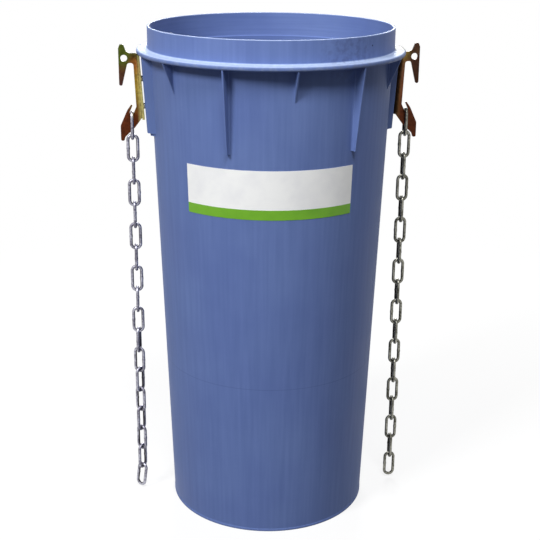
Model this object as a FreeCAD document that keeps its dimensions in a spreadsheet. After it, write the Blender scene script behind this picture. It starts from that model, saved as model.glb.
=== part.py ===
import FreeCAD, Part
import math
import os
import Sketcher
from FreeCAD import Placement, Rotation, Vector

# One element of a rubble chute: a tapered plastic tube that hangs by two steel hooks, with the
# two chains that carry the next element below it.
# Millimetres and degrees, +Z up. The origin is the middle of the bottom rim, on the floor.
# The hooks stand at +X and -X, and the front of the tube, with the label, faces -Y.

# Driving sizes
SIZES = {
    # tube
    "height": 1100.0,
    "rim_radius": 264.4,
    "flange_radius": 288.3,
    "flange_bottom": 1042.4,
    "flange_top": 1052.5,
    "wall_top_radius": 261.1,
    "wall_bottom_radius": 224.2,
    "lip_radius": 225.0,
    "lip_height": 6.0,
    "passage_rim_radius": 259.4,
    "passage_ledge_height": 1046.0,
    "passage_top_radius": 256.1,
    "passage_bottom_radius": 219.2,
    "flange_rounding": 4.2,
    "collar_foot_rounding": 4.0,
    "rim_rounding": 1.9,
    "bottom_rounding": 1.2,
    "lip_shoulder": 0.8,
    "passage_ledge_rise": 1.5,
    # gussets under the flange
    "gusset_thickness": 4.0,
    "gusset_reach": 286.5,
    "gusset_root": 240.0,
    "gusset_cap": 1047.0,
    "gusset_turn": 4.6,
    "short_gusset_bottom": 978.0,
    "long_gusset_bottom": 871.0,
    "long_gusset_foot": 10.6,
    # pads that the hooks are bolted to
    "pad_bottom": 876.0,
    "pad_bottom_reach": 268.8,
    "pad_top_reach": 278.7,
    "pad_root": 238.0,
    "pad_face_tab_side": 33.0,
    "pad_root_tab_side": 57.0,
    "pad_face_plain_side": 15.0,
    "pad_root_plain_side": 38.0,
    "pad_shelf_bottom": 870.5,
    "pad_shelf_reach": 262.2,
    "pad_floor": 8.0,
    "pad_cap": 1045.4,
    # label
    "label_bottom": 738.0,
    "label_top": 841.0,
    "label_thickness": 0.4,
    "label_sweep": 83.6,
    "label_turn": -6.4,
    "label_gap": 0.05,
    # hooks, as the one at +X: plate and tab
    "plate_thickness": 5.0,
    "bend_radius": 6.0,
    "tab_width": 31.0,
    "tab_bottom": 904.5,
    "tab_gap": 3.0,
    # hooks: head with the hanging hole, throat and finger
    "hook_top": 1042.0,
    "hook_reach": 326.0,
    "head_shoulder": 1052.0,
    "head_shoulder_rounding": 6.0,
    "neck_reach": 308.2,
    "neck_rounding": 12.0,
    "tip_top": 1060.5,
    "tip_inner": 315.2,
    "tip_outer": 322.6,
    "tip_rounding": 3.0,
    "hole_reach": 314.6,
    "hole_height": 1031.4,
    "hole_radius": 7.2,
    "throat_top": 1021.2,
    "throat_inner": 294.8,
    "throat_outer": 307.4,
    "throat_rounding": 5.6,
    "finger_bottom": 973.4,
    "finger_inner": 319.4,
    "finger_inner_rounding": 2.9,
    "finger_outer_rounding": 3.4,
    # hooks: stem, barb and tail, with the slot for the chain between them
    "stem_reach": 291.0,
    "stem_foot": 927.4,
    "barb_top": 932.5,
    "barb_reach": 301.6,
    "barb_inner": 298.0,
    "barb_inner_height": 930.6,
    "barb_rounding": 1.6,
    "barb_back_reach": 310.8,
    "barb_back_height": 919.8,
    "barb_back_rounding": 30.0,
    "tail_shoulder": 886.5,
    "tail_shoulder_rounding": 8.0,
    "tail_bottom": 853.6,
    "tail_outer_rounding": 3.6,
    "tail_inner": 318.8,
    "tail_inner_rounding": 3.2,
    "tail_heel_reach": 316.3,
    "tail_heel_height": 862.2,
    "tail_heel_rounding": 3.0,
    "belly_reach": 295.0,
    "belly_height": 882.5,
    "belly_rounding": 6.0,
    "slot_reach": 301.0,
    "slot_height": 915.3,
    "slot_radius": 4.4,
    "slot_lean": 23.4,
    "slot_length": 16.0,
    "bore_reach": 100.0,
    # hook fasteners: heights are along the screw, outwards from the pad's face
    "screw_upper_height": 991.0,
    "screw_spacing": 58.5,
    "screw_offset": 18.5,
    "screw_radius": 4.0,
    "screw_length": 25.0,
    "screw_end_chamfer": 1.0,
    "screw_head_radius": 7.7,
    "screw_head_rim": 0.15,
    "screw_seat_slack": 0.05,
    "socket_across_flats": 5.0,
    "socket_depth": 2.6,
    "countersink_radius": 8.2,
    "screw_hole_radius": 4.5,
    "screw_hole_depth": 20.0,
    "spacer_radius": 6.2,
    "nut_across_flats": 13.0,
    "nut_height": 6.5,
    "nut_bore_radius": 4.05,
    "nut_washer_radius": 14.0,
    "nut_washer_thickness": 2.0,
    "recess_radius": 15.5,
    "recess_depth": 30.0,
    # chains
    "links_per_chain": 18.0,
    "wire_radius": 3.5,
    "link_half_width": 10.5,
    "link_inner_length": 50.1,
    "link_gap": 0.1,
    "last_link_lean": 9.0,
    "straight_links": 10.0,
    "twist_per_link": 13.5,
    "full_twist": 40.0,
}

document = FreeCAD.newDocument("RubbleChute")
sheet = document.addObject("Spreadsheet::Sheet", "Sizes")
for row, (alias, number) in enumerate(SIZES.items(), start=1):
    sheet.set(f"A{row}", alias)
    sheet.set(f"B{row}", str(number))
    sheet.setAlias(f"B{row}", alias)
document.recompute()


def size(name):
    """The number in the sheet's cell of that name, or the number itself."""
    return float(sheet.get(name)) if isinstance(name, str) else float(name)


def bind(thing, **cells):
    """Ties properties of a feature to the sheet's cells."""
    for name, cell in cells.items():
        thing.setExpression(name, cell if "." in cell else f"Sizes.{cell}")


# Tools for bodies and sketches
def new_body(label):
    body = document.addObject("PartDesign::Body", label)
    body.Label = label
    return body


def origin_part(body, role):
    return next(feature for feature in body.Origin.OriginFeatures if feature.Role == role)


def new_sketch(body, name, role="XZ_Plane", offset=None):
    """A sketch on one of the body's own origin planes. On XZ_Plane it is drawn as (X, Z)."""
    sketch = body.newObject("Sketcher::SketchObject", name)
    sketch.AttachmentSupport = [(origin_part(body, role), "")]
    sketch.MapMode = "FlatFace"
    sketch.AttachmentOffset = offset or Placement()
    return sketch


def pin(sketch, line, end, place):
    """Holds one end of a line at a place, each coordinate a cell's name or a number."""
    for kind, axis, value in (("DistanceX", -2, place[0]), ("DistanceY", -1, place[1])):
        if size(value) == 0.0:
            sketch.addConstraint(Sketcher.Constraint("PointOnObject", line, end, axis))
            continue
        index = sketch.addConstraint(Sketcher.Constraint(kind, -1, 1, line, end, size(value)))
        if isinstance(value, str):
            sketch.setExpression(f"Constraints[{index}]", f"Sizes.{value}")


def draw_outline(sketch, corners):
    """A closed outline of straight lines through the corners."""
    places = [Vector(size(x), size(y), 0) for x, y in corners]
    lines = [Part.LineSegment(a, b) for a, b in zip(places, places[1:] + places[:1])]
    ids = sketch.addGeometry(lines, False)
    for line, following in zip(ids, ids[1:] + ids[:1]):
        sketch.addConstraint(Sketcher.Constraint("Coincident", line, 2, following, 1))
    for line, corner in zip(ids, corners):
        pin(sketch, line, 1, corner)


def draw_rounded(sketch, corners):
    """A closed outline through (x, y, rounding) corners, each rounding a tangent arc."""
    places = [Vector(size(x), size(y), 0) for x, y, _ in corners]
    starts, ends, pieces = [], [], []
    for index, here in enumerate(places):
        before, after = places[index - 1], places[(index + 1) % len(places)]
        radius = size(corners[index][2])
        back = (before - here).normalize()
        ahead = (after - here).normalize()
        half = back.getAngle(ahead) / 2
        reach = radius / math.tan(half)
        starts.append(here + back * reach)
        ends.append(here + ahead * reach)
        if radius:
            middle = here + (back + ahead).normalize() * (radius / math.sin(half))
            top = middle + (here - middle).normalize() * radius
            pieces.append(Part.Arc(starts[-1], top, ends[-1]))
    for index, start in enumerate(ends):
        pieces.append(Part.LineSegment(start, starts[(index + 1) % len(starts)]))
    ids = sketch.addGeometry(pieces, False)
    arcs = [index for index in ids if isinstance(sketch.Geometry[index], Part.ArcOfCircle)]
    rounded = [corner[2] for corner in corners if size(corner[2])]
    for arc, radius in zip(arcs, rounded):
        index = sketch.addConstraint(Sketcher.Constraint("Radius", arc, size(radius)))
        if isinstance(radius, str):
            sketch.setExpression(f"Constraints[{index}]", f"Sizes.{radius}")


def pad(body, sketch, length, name, reverse=False, both_ways=True):
    feature = body.newObject("PartDesign::Pad", name)
    feature.Profile = sketch
    feature.SideType = "Symmetric" if both_ways else "One side"
    feature.Reversed = reverse
    bind(feature, Length=length)
    return feature


def revolve(body, sketch, name, kind="PartDesign::Revolution", sweep=None):
    feature = body.newObject(kind, name)
    feature.Profile = sketch
    feature.ReferenceAxis = (sketch, ["V_Axis"])
    feature.Angle = 360.0
    if sweep:
        feature.Midplane = True
        bind(feature, Angle=sweep)
    return feature


def pattern_round(body, originals, count, name):
    feature = body.newObject("PartDesign::PolarPattern", name)
    feature.Originals = originals
    feature.Axis = (origin_part(body, "Z_Axis"), [""])
    feature.Angle = 360.0
    feature.Occurrences = count
    body.Tip = feature
    return feature


def turned_about_z(degrees):
    """The offset that turns a sketch on XZ_Plane round the object's upright axis."""
    return Placement(Vector(0, 0, 0), Rotation(Vector(0, 1, 0), degrees))


def round_edges(body, name, radius, wanted):
    """Rounds the edges of the body's tip that the test picks."""
    document.recompute()
    base = body.Tip
    picked = [f"Edge{i}" for i, edge in enumerate(base.Shape.Edges, start=1) if wanted(edge)]
    feature = body.newObject("PartDesign::Fillet", name)
    feature.Base = (base, picked)
    bind(feature, Radius=radius)
    body.Tip = feature
    return feature


def is_ring(edge, radius, height):
    """True for an edge that lies on the level circle of that radius and height."""
    curve = edge.Curve
    return (
        isinstance(curve, Part.Circle)
        and abs(curve.Radius - size(radius)) < 0.01
        and abs(curve.Center.z - size(height)) < 0.01
        and abs(curve.Axis.z) > 0.99
    )


# Slope of the bolting pads: how far their face leans out per millimetre of height
pad_rise = size("flange_bottom") - size("pad_bottom")
pad_slope = (size("pad_top_reach") - size("pad_bottom_reach")) / pad_rise
pad_lean = math.degrees(math.atan(pad_slope))


def pad_face(height):
    """Distance from the axis to a bolting pad's face at a height."""
    return size("pad_bottom_reach") + pad_slope * (height - size("pad_bottom"))


def wall_radius(height):
    """Outer radius of the tapered wall at a height."""
    taper = (size("wall_top_radius") - size("wall_bottom_radius")) / size("flange_bottom")
    return size("wall_bottom_radius") + taper * height


# Screw axes, as those of the hook at +X: square to the pad's sloping face
def screw_placement(depth=0.0, steps=0, side=0.0):
    """The frame of a screw: Z along its axis outwards, X down the pad, depth above its face."""
    height = size("screw_upper_height")
    foot = Vector(pad_face(height), size("screw_offset"), height)
    down = Vector(-math.sin(math.radians(pad_lean)), 0, -math.cos(math.radians(pad_lean)))
    out = Vector(math.cos(math.radians(pad_lean)), 0, -math.sin(math.radians(pad_lean)))
    turn = Rotation(down, out.cross(down), out, "ZXY")
    place = Placement(foot + out * depth + down * (steps * size("screw_spacing")), turn)
    return Placement(Vector(0, 0, 0), Rotation(Vector(0, 0, 1), side)) * place


# Tube: outer form and its roundings, then gussets and pads, then the passage
tube = new_body("chute_tube")
lip_end = size("lip_height") + size("lip_shoulder")
sketch = new_sketch(tube, "tube_outer_form")
draw_outline(
    sketch,
    [
        (0, 0),
        ("lip_radius", 0),
        ("lip_radius", "lip_height"),
        (wall_radius(lip_end), lip_end),
        ("wall_top_radius", "flange_bottom"),
        ("flange_radius", "flange_bottom"),
        ("flange_radius", "flange_top"),
        ("rim_radius", "flange_top"),
        ("rim_radius", "height"),
        (0, "height"),
    ],
)
revolve(tube, sketch, "tube_solid")
for name, radius, ring, height in (
    ("flange_upper_edge", "flange_rounding", "flange_radius", "flange_top"),
    ("flange_lower_edge", "flange_rounding", "flange_radius", "flange_bottom"),
    ("collar_foot", "collar_foot_rounding", "rim_radius", "flange_top"),
    ("rim_outer_edge", "rim_rounding", "rim_radius", "height"),
    ("bottom_edge", "bottom_rounding", "lip_radius", 0),
):
    round_edges(tube, name, radius, lambda edge: is_ring(edge, ring, height))


def gusset(name, turn, bottom, foot_reach):
    """One upright gusset under the flange, turned from the hooks' plane."""
    outline = new_sketch(tube, f"{name}_outline", offset=turned_about_z(turn))
    draw_outline(
        outline,
        [
            ("gusset_root", bottom),
            (foot_reach, bottom),
            ("gusset_reach", "flange_bottom"),
            ("gusset_reach", "gusset_cap"),
            ("gusset_root", "gusset_cap"),
        ],
    )
    return pad(tube, outline, "gusset_thickness", name)


first_turn = size("gusset_turn") - 30.0
short_reach = wall_radius(size("short_gusset_bottom")) - 0.3
long_reach = wall_radius(size("long_gusset_bottom")) + size("long_gusset_foot")
short_gusset = gusset("short_gusset", first_turn, "short_gusset_bottom", short_reach)
pattern_round(tube, [short_gusset], 6, "short_gussets")
long_gussets = [
    gusset(f"long_gusset_{index}", first_turn - 30.0 * index, "long_gusset_bottom", long_reach)
    for index in (1, 3)
]
pattern_round(tube, long_gussets, 2, "long_gussets")


def level_sketch(body, name, height, corners):
    """A level outline at a height."""
    offset = Placement(Vector(0, 0, height), Rotation())
    outline = new_sketch(body, name, "XY_Plane", offset)
    draw_outline(outline, corners)
    return outline


def pad_section(name, height):
    """Plan of a bolting pad at a height, wider on the side that takes the hook's tab."""
    return level_sketch(
        tube,
        name,
        height,
        [
            ("pad_root", -size("pad_root_plain_side")),
            (pad_face(height), -size("pad_face_plain_side")),
            (pad_face(height), "pad_face_tab_side"),
            ("pad_root", "pad_root_tab_side"),
        ],
    )


bolting_pad = tube.newObject("PartDesign::AdditiveLoft", "bolting_pad")
bolting_pad.Profile = pad_section("pad_foot_section", size("pad_bottom"))
bolting_pad.Sections = [pad_section("pad_head_section", size("pad_cap"))]
bolting_pad.Ruled = True
tube.Tip = bolting_pad

shelf_outline = level_sketch(
    tube,
    "pad_shelf_outline",
    size("pad_shelf_bottom"),
    [
        ("pad_root", 0),
        ("pad_shelf_reach", 0),
        ("pad_shelf_reach", "pad_face_tab_side"),
        ("pad_root", "pad_root_tab_side"),
    ],
)
shelf = pad(tube, shelf_outline, "pad_bottom", "pad_shelf", both_ways=False)
bind(shelf, Length="Sizes.pad_bottom - Sizes.pad_shelf_bottom + 1")


def bored(body, name, radius, place, length):
    """A round hole from a placement along its Z."""
    feature = body.newObject("PartDesign::SubtractiveCylinder", name)
    feature.Placement = place
    bind(feature, Radius=radius, Height=length)
    body.Tip = feature
    return feature


pattern_round(tube, [bolting_pad, shelf], 2, "bolting_pads")

SIDES = {"right": 0.0, "left": 180.0}
for side_name, side in SIDES.items():
    for step, place_name in enumerate(("upper", "lower")):
        name = f"{side_name}_{place_name}"
        floor = screw_placement(-size("pad_floor"), step, side)
        sunk = screw_placement(-size("pad_floor") - size("recess_depth"), step, side)
        bored(tube, f"{name}_screw_hole", "screw_hole_radius", floor, "screw_hole_depth")
        bored(tube, f"{name}_nut_recess", "recess_radius", sunk, "recess_depth")

overshoot = 1.0
sketch = new_sketch(tube, "passage_outline")
draw_outline(
    sketch,
    [
        (0, -overshoot),
        ("passage_bottom_radius", -overshoot),
        ("passage_bottom_radius", 0),
        ("passage_top_radius", "passage_ledge_height"),
        ("passage_rim_radius", size("passage_ledge_height") + size("passage_ledge_rise")),
        ("passage_rim_radius", "height"),
        ("passage_rim_radius", size("height") + overshoot),
        (0, size("height") + overshoot),
    ],
)
revolve(tube, sketch, "passage", "PartDesign::Groove")
round_edges(
    tube, "rim_inner_edge", "rim_rounding", lambda edge: is_ring(edge, "passage_rim_radius", "height")
)

# Label: a thin sheet stuck round the front of the wall
label = new_body("label")
sketch = new_sketch(label, "label_section", offset=turned_about_z(size("label_turn") - 90.0))
label_foot = wall_radius(size("label_bottom")) + size("label_gap")
label_head = wall_radius(size("label_top")) + size("label_gap")
draw_outline(
    sketch,
    [
        (label_foot, "label_bottom"),
        (label_foot + size("label_thickness"), "label_bottom"),
        (label_head + size("label_thickness"), "label_top"),
        (label_head, "label_top"),
    ],
)
revolve(label, sketch, "label_sheet", sweep="label_sweep")


# Hooks: plate with a tab bent to one side, cut to one outline from an oversize blank.
# The tab stands off the pad by a small gap, which the spacers hold.
blank_margin = 20.0
waste_inner, waste_outer = 200.0, 400.0
across_all = size("bore_reach")


def hook(label_text, side):
    body = new_body(label_text)
    half = size("plate_thickness") / 2
    inner = size("bend_radius")
    outer = inner + size("plate_thickness")
    middle_y = half + inner
    low = size("tail_bottom") - blank_margin
    foot = Placement(Vector(pad_face(low), 0, low), Rotation(Vector(0, 1, 0), pad_lean))
    foot = foot * Placement(Vector(size("tab_gap"), 0, 0), Rotation())
    section = new_sketch(body, f"{label_text}_section", "XY_Plane", foot)
    corner = math.sqrt(0.5)
    center = Vector(outer, middle_y, 0)
    plate_end = size("hook_reach") - pad_face(low) + blank_margin
    path = [
        Part.LineSegment(Vector(0, size("tab_width"), 0), Vector(0, middle_y, 0)),
        Part.Arc(
            Vector(0, middle_y, 0),
            center - Vector(outer * corner, outer * corner, 0),
            Vector(outer, -half, 0),
        ),
        Part.LineSegment(Vector(outer, -half, 0), Vector(plate_end, -half, 0)),
        Part.LineSegment(Vector(plate_end, -half, 0), Vector(plate_end, half, 0)),
        Part.LineSegment(Vector(plate_end, half, 0), Vector(outer, half, 0)),
        Part.Arc(
            Vector(outer, half, 0),
            center - Vector(inner * corner, inner * corner, 0),
            Vector(size("plate_thickness"), middle_y, 0),
        ),
        Part.LineSegment(
            Vector(size("plate_thickness"), middle_y, 0),
            Vector(size("plate_thickness"), size("tab_width"), 0),
        ),
        Part.LineSegment(
            Vector(size("plate_thickness"), size("tab_width"), 0), Vector(0, size("tab_width"), 0)
        ),
    ]
    section.addGeometry(path, False)
    blank = pad(body, section, "height", f"{label_text}_blank", both_ways=False)
    bind(blank, Length=f"Sizes.tip_top - Sizes.tail_bottom + {2 * blank_margin}")

    # what lies outside the outline is cut away
    waste = new_sketch(body, f"{label_text}_outline")
    lowest, highest = low - blank_margin, size("tip_top") + 2 * blank_margin
    draw_outline(
        waste,
        [
            (waste_inner, lowest),
            (waste_outer, lowest),
            (waste_outer, highest),
            (waste_inner, highest),
        ],
    )
    behind = 3.0
    beyond = size("tab_gap") + size("plate_thickness")
    draw_rounded(
        waste,
        [
            (pad_face(size("tab_bottom")) - behind, "tab_bottom", 0),
            (pad_face(size("tab_bottom")) + beyond, "tab_bottom", 0),
            ("belly_reach", "belly_height", "belly_rounding"),
            ("tail_heel_reach", "tail_heel_height", "tail_heel_rounding"),
            ("tail_inner", "tail_bottom", "tail_inner_rounding"),
            ("hook_reach", "tail_bottom", "tail_outer_rounding"),
            ("hook_reach", "tail_shoulder", "tail_shoulder_rounding"),
            ("barb_back_reach", "barb_back_height", "barb_back_rounding"),
            ("barb_reach", "barb_top", "barb_rounding"),
            ("barb_inner", "barb_inner_height", 0),
            ("stem_reach", "stem_foot", 0),
            ("throat_inner", "throat_top", "throat_rounding"),
            ("throat_outer", "throat_top", "throat_rounding"),
            ("finger_inner", "finger_bottom", "finger_inner_rounding"),
            ("hook_reach", "finger_bottom", "finger_outer_rounding"),
            ("hook_reach", "head_shoulder", "head_shoulder_rounding"),
            ("tip_outer", "tip_top", "tip_rounding"),
            ("tip_inner", "tip_top", "tip_rounding"),
            ("neck_reach", "hook_top", "neck_rounding"),
            (pad_face(size("hook_top")) - behind, "hook_top", 0),
        ],
    )
    trim = body.newObject("PartDesign::Pocket", f"{label_text}_trim")
    trim.Profile = waste
    trim.SideType = "Symmetric"
    trim.Length = 2 * across_all
    body.Tip = trim

    across = Rotation(Vector(1, 0, 0), 90)
    start = across_all / 2
    hole = Placement(Vector(size("hole_reach"), start, size("hole_height")), across)
    bored(body, f"{label_text}_hole", "hole_radius", hole, "bore_reach")
    slot_low = Placement(Vector(size("slot_reach"), start, size("slot_height")), across)
    bored(body, f"{label_text}_slot_end", "slot_radius", slot_low, "bore_reach")
    slot = body.newObject("PartDesign::SubtractiveBox", f"{label_text}_slot")
    bind(slot, Length="2 * Sizes.slot_radius", Width="bore_reach", Height="slot_length")
    lean = Rotation(Vector(0, 1, 0), -size("slot_lean"))
    corner_offset = lean.multVec(Vector(-size("slot_radius"), -start, 0))
    slot.Placement = Placement(
        Vector(size("slot_reach"), 0, size("slot_height")) + corner_offset, lean
    )
    body.Tip = slot
    sink_foot = beyond - size("countersink_radius") + size("screw_hole_radius")
    for step, name in enumerate(("upper", "lower")):
        place = screw_placement(-behind, step)
        bored(body, f"{label_text}_{name}_screw_hole", "screw_hole_radius", place, "screw_hole_depth")
        sink = body.newObject("PartDesign::SubtractiveCone", f"{label_text}_{name}_countersink")
        sink.Placement = screw_placement(sink_foot, step)
        bind(sink, Radius1="screw_hole_radius", Radius2="Sizes.countersink_radius + 1")
        bind(sink, Height="Sizes.countersink_radius - Sizes.screw_hole_radius + 1")
        body.Tip = sink
    body.Placement = Placement(Vector(0, 0, 0), Rotation(Vector(0, 0, 1), side))
    return body


for side_name, side in SIDES.items():
    hook(f"hook_{side_name}", side)


# Hook fasteners: each body holds the two alike pieces of one side
def two_down_the_pad(body, features, name):
    pair = body.newObject("PartDesign::LinearPattern", name)
    pair.Originals = features
    pair.Direction = (origin_part(body, "X_Axis"), [""])
    pair.Occurrences = 2
    body.Tip = pair
    bind(pair, Length="screw_spacing")


def draw_ring(sketch, radius):
    """A circle about the sketch's origin, its radius tied to the sheet."""
    ring = sketch.addGeometry(Part.Circle(Vector(0, 0, 0), Vector(0, 0, 1), size(radius)), False)
    sketch.addConstraint(Sketcher.Constraint("Coincident", ring, 3, -1, 1))
    index = sketch.addConstraint(Sketcher.Constraint("Radius", ring, size(radius)))
    sketch.setExpression(f"Constraints[{index}]", f"Sizes.{radius}")


def draw_hexagon(sketch, across_flats):
    """A hexagon about the sketch's origin."""
    corner_radius = size(across_flats) / math.sqrt(3)
    corners = [
        Vector(corner_radius * math.cos(turn), corner_radius * math.sin(turn), 0)
        for turn in (math.pi / 3 * step for step in range(6))
    ]
    sides = [Part.LineSegment(a, b) for a, b in zip(corners, corners[1:] + corners[:1])]
    sketch.addGeometry(sides, False)


def ring_body(name, radius, thickness, depth, side):
    """Two rings round the screws, their lower faces depth above the pad's face."""
    body = new_body(name)
    sketch = new_sketch(body, f"{name}_outline", "XY_Plane")
    draw_ring(sketch, radius)
    draw_ring(sketch, "screw_hole_radius")
    disc = pad(body, sketch, thickness, f"{name}_disc", both_ways=False)
    two_down_the_pad(body, [disc], f"{name}_pair")
    body.Placement = screw_placement(depth, 0, side)
    return body


def screw_body(name, side):
    """Two countersunk screws, flush in the hook's tab, with a hexagon socket."""
    body = new_body(name)
    sketch = new_sketch(body, f"{name}_section")
    outer, shank = size("screw_head_radius"), size("screw_radius")
    flush = size("tab_gap") + size("plate_thickness")
    seat_drop = flush - size("countersink_radius") + size("screw_seat_slack")
    head_edge = outer + seat_drop
    head_top = head_edge + size("screw_head_rim")
    end = head_top - size("screw_length")
    chamfer = size("screw_end_chamfer")
    corners = [
        Vector(0, head_top, 0),
        Vector(outer - size("screw_head_rim"), head_top, 0),
        Vector(outer, head_edge, 0),
        Vector(shank, shank + seat_drop, 0),
        Vector(shank, end + chamfer, 0),
        Vector(shank - chamfer, end, 0),
        Vector(0, end, 0),
    ]
    lines = [Part.LineSegment(a, b) for a, b in zip(corners, corners[1:] + corners[:1])]
    sketch.addGeometry(lines, False)
    turned = revolve(body, sketch, f"{name}_turned")
    level = Placement(Vector(0, 0, head_top), Rotation())
    hexagon = new_sketch(body, f"{name}_socket_outline", "XY_Plane", level)
    draw_hexagon(hexagon, "socket_across_flats")
    socket = body.newObject("PartDesign::Pocket", f"{name}_socket")
    socket.Profile = hexagon
    bind(socket, Length="socket_depth")
    two_down_the_pad(body, [turned, socket], f"{name}_pair")
    body.Placement = screw_placement(0, 0, side)
    return body


def nut_body(name, side):
    """Two hexagon nuts in the recesses inside the tube."""
    body = new_body(name)
    sketch = new_sketch(body, f"{name}_outline", "XY_Plane")
    draw_hexagon(sketch, "nut_across_flats")
    draw_ring(sketch, "nut_bore_radius")
    hexagon = pad(body, sketch, "nut_height", f"{name}_hexagon", both_ways=False)
    two_down_the_pad(body, [hexagon], f"{name}_pair")
    depth = size("pad_floor") + size("nut_washer_thickness") + size("nut_height")
    body.Placement = screw_placement(-depth, 0, side)
    return body


washer_depth = size("pad_floor") + size("nut_washer_thickness")
for side_name, side in SIDES.items():
    screw_body(f"hook_screws_{side_name}", side)
    nut_body(f"hook_nuts_{side_name}", side)
    ring_body(f"tab_spacers_{side_name}", "spacer_radius", "tab_gap", 0, side)
    ring_body(
        f"nut_washers_{side_name}", "nut_washer_radius", "nut_washer_thickness", -washer_depth, side
    )


# Chains: long links of round wire, each hung in the one above, the first in the hook's slot
link_pitch = size("link_inner_length") - size("link_gap")
crown_to_middle = size("link_inner_length") / 2 + size("wire_radius")


def link_body(name, place):
    """One link, upright in its own XZ plane about its middle."""
    body = new_body(name)
    half = size("link_half_width")
    arc_height = size("link_inner_length") / 2 + size("wire_radius") - half
    path = new_sketch(body, f"{name}_path")
    left_top, left_low = Vector(-half, arc_height, 0), Vector(-half, -arc_height, 0)
    right_top, right_low = Vector(half, arc_height, 0), Vector(half, -arc_height, 0)
    crown, foot = Vector(0, arc_height + half, 0), Vector(0, -arc_height - half, 0)
    path.addGeometry(
        [
            Part.LineSegment(right_low, right_top),
            Part.Arc(right_top, crown, left_top),
            Part.LineSegment(left_top, left_low),
            Part.Arc(left_low, foot, right_low),
        ],
        False,
    )
    for piece, following in ((0, 1), (1, 2), (2, 3), (3, 0)):
        path.addConstraint(Sketcher.Constraint("Coincident", piece, 2, following, 1))
    wire = new_sketch(body, f"{name}_wire_section", "XY_Plane")
    ring = wire.addGeometry(Part.Circle(Vector(half, 0, 0), Vector(0, 0, 1), size("wire_radius")))
    index = wire.addConstraint(Sketcher.Constraint("Radius", ring, size("wire_radius")))
    wire.setExpression(f"Constraints[{index}]", "Sizes.wire_radius")
    swept = body.newObject("PartDesign::AdditivePipe", f"{name}_bent_wire")
    swept.Profile = wire
    swept.Spine = (path, ["Edge1", "Edge2", "Edge3", "Edge4"])
    body.Tip = swept
    body.Placement = place
    return body


def link_twist(side_name, number):
    """How far a link has turned about the upright: the left chain hangs twisted low down."""
    if side_name == "right" or number <= size("straight_links"):
        return 0.0
    return -min(size("twist_per_link") * (number - size("straight_links")), size("full_twist"))


for side_name, side in SIDES.items():
    reach = size("slot_reach") if side_name == "right" else -size("slot_reach")
    for number in range(1, int(size("links_per_chain")) + 1):
        middle = size("slot_height") - crown_to_middle - link_pitch * (number - 1)
        edge_on = 90.0 if number % 2 else 0.0
        turn = Rotation(Vector(0, 0, 1), edge_on + link_twist(side_name, number))
        place = Placement(Vector(reach, 0, middle), turn)
        if side_name == "left" and number == size("links_per_chain"):
            hinge = Vector(0, 0, crown_to_middle - 2 * size("wire_radius") - size("link_gap"))
            lean = Rotation(Vector(0, 1, 0), size("last_link_lean"))
            tilt = Placement(hinge, Rotation()) * Placement(Vector(0, 0, 0), lean)
            place = place * tilt * Placement(-hinge, Rotation())
        link_body(f"chain_{side_name}_link_{number:02d}", place)

# Checks on every object, then one file for each sub-part
document.recompute()
for thing in document.Objects:
    if {"Invalid", "Error"} & set(thing.State):
        raise RuntimeError(f"{thing.Label} failed: {thing.State}")
bodies = [thing for thing in document.Objects if thing.isDerivedFrom("PartDesign::Body")]
for body in bodies:
    if body.Shape.isNull() or not body.Shape.isValid():
        raise RuntimeError(f"{body.Label} has no valid shape")

os.makedirs("parts", exist_ok=True)
for body in bodies:
    body.Shape.exportStep(f"parts/{body.Label}.step")
    print(body.Label, len(body.Shape.Solids), "solids", round(body.Shape.Volume / 1000, 2), "cm3")
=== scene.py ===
import math

import bmesh
import bpy
from mathutils import Matrix, Vector


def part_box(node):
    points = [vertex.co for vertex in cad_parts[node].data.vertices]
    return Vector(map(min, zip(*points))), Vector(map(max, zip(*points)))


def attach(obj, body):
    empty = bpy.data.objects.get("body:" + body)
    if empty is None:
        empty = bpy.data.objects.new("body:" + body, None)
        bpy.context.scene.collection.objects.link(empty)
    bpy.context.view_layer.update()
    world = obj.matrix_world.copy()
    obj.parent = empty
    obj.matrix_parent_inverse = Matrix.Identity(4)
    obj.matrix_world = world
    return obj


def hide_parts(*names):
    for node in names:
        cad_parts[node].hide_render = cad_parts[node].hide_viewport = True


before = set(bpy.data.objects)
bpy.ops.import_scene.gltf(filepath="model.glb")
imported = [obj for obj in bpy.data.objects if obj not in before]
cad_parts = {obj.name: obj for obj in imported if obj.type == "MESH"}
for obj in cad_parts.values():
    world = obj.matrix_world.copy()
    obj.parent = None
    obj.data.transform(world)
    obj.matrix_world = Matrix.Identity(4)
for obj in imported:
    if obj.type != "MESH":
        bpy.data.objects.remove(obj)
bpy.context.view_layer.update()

MM = 0.001

# Camera
# The photograph's own place and lens: a little above the rim, a little left of the label.
camera_place = Vector((-263.1, -2401.0, 1367.0)) * MM
camera_turn = math.radians(6.3)
camera_down = math.radians(18.742)
camera_roll = math.radians(0.513)
lens_mm = 74.17

ahead = Vector(
    (
        math.cos(camera_down) * math.sin(camera_turn),
        math.cos(camera_down) * math.cos(camera_turn),
        -math.sin(camera_down),
    )
)
to_right = ahead.cross(Vector((0, 0, 1))).normalized()
facing = Matrix((to_right, to_right.cross(ahead), -ahead)).transposed()
camera_data = bpy.data.cameras.new("camera")
camera_data.lens = lens_mm
camera_data.sensor_width = 36.0
camera_data.clip_end = 30.0
camera = bpy.data.objects.new("camera", camera_data)
camera.matrix_world = (
    Matrix.Translation(camera_place)
    @ facing.to_4x4()
    @ Matrix.Rotation(camera_roll, 4, "Z")
)
bpy.context.scene.collection.objects.link(camera)
bpy.context.scene.camera = camera
bpy.context.scene.view_settings.view_transform = "Standard"


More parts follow.
